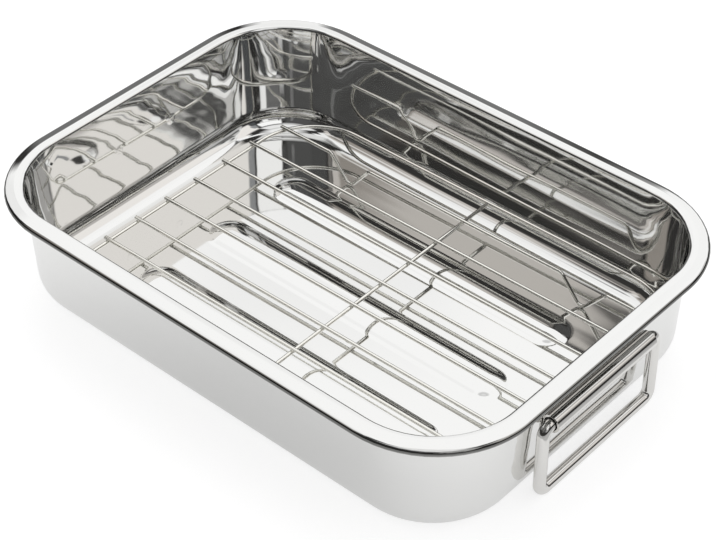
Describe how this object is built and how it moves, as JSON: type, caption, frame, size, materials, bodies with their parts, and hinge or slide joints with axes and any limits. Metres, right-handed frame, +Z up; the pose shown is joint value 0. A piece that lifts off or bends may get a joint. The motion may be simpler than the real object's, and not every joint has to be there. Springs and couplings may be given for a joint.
{
  "type": "roasting pan with rack",
  "caption": "Stainless-steel roasting pan with a rolled rim, a swinging bail handle on each end wall and a loose wire rack inside.",
  "frame": {"origin": "middle of the pan's flat underside", "axes": "+X along the pan towards one bail, +Y across it, +Z up out of the pan"},
  "size_m": [0.34, 0.248, 0.07],
  "materials": {
    "pan_steel": "polished",
    "handle_steel": "polished",
    "rack_wire": "bright"
  },
  "bodies": {
    "pan": {"pan_body": "pan_steel", "bracket_right": "handle_steel", "bracket_left": "handle_steel"},
    "right_bail": {"bail_right": "handle_steel"},
    "left_bail": {"bail_left": "handle_steel"},
    "rack": {"rack_ring": "rack_wire", "rack_cross_wire": "rack_wire", "rack_wire_1": "rack_wire", "rack_wire_2": "rack_wire", "rack_wire_3": "rack_wire", "rack_wire_4": "rack_wire", "rack_wire_5": "rack_wire", "rack_wire_6": "rack_wire", "rack_foot_wire_near": "rack_wire", "rack_foot_wire_far": "rack_wire"}
  },
  "joints": [
    {"name": "right_bail_hinge", "type": "hinge", "parent": "pan", "child": "right_bail", "pos_m": [0.16406, 0, 0.046], "axis": [0, -1, 0], "range_deg": [-4.5, 150]},
    {"name": "left_bail_hinge", "type": "hinge", "parent": "pan", "child": "left_bail", "pos_m": [-0.16406, 0, 0.046], "axis": [0, 1, 0], "range_deg": [-4.5, 150]},
    {"name": "rack_lift", "type": "slide", "parent": "pan", "child": "rack", "axis": [0, 0, 1], "range_m": [0, 0.08]}
  ]
}
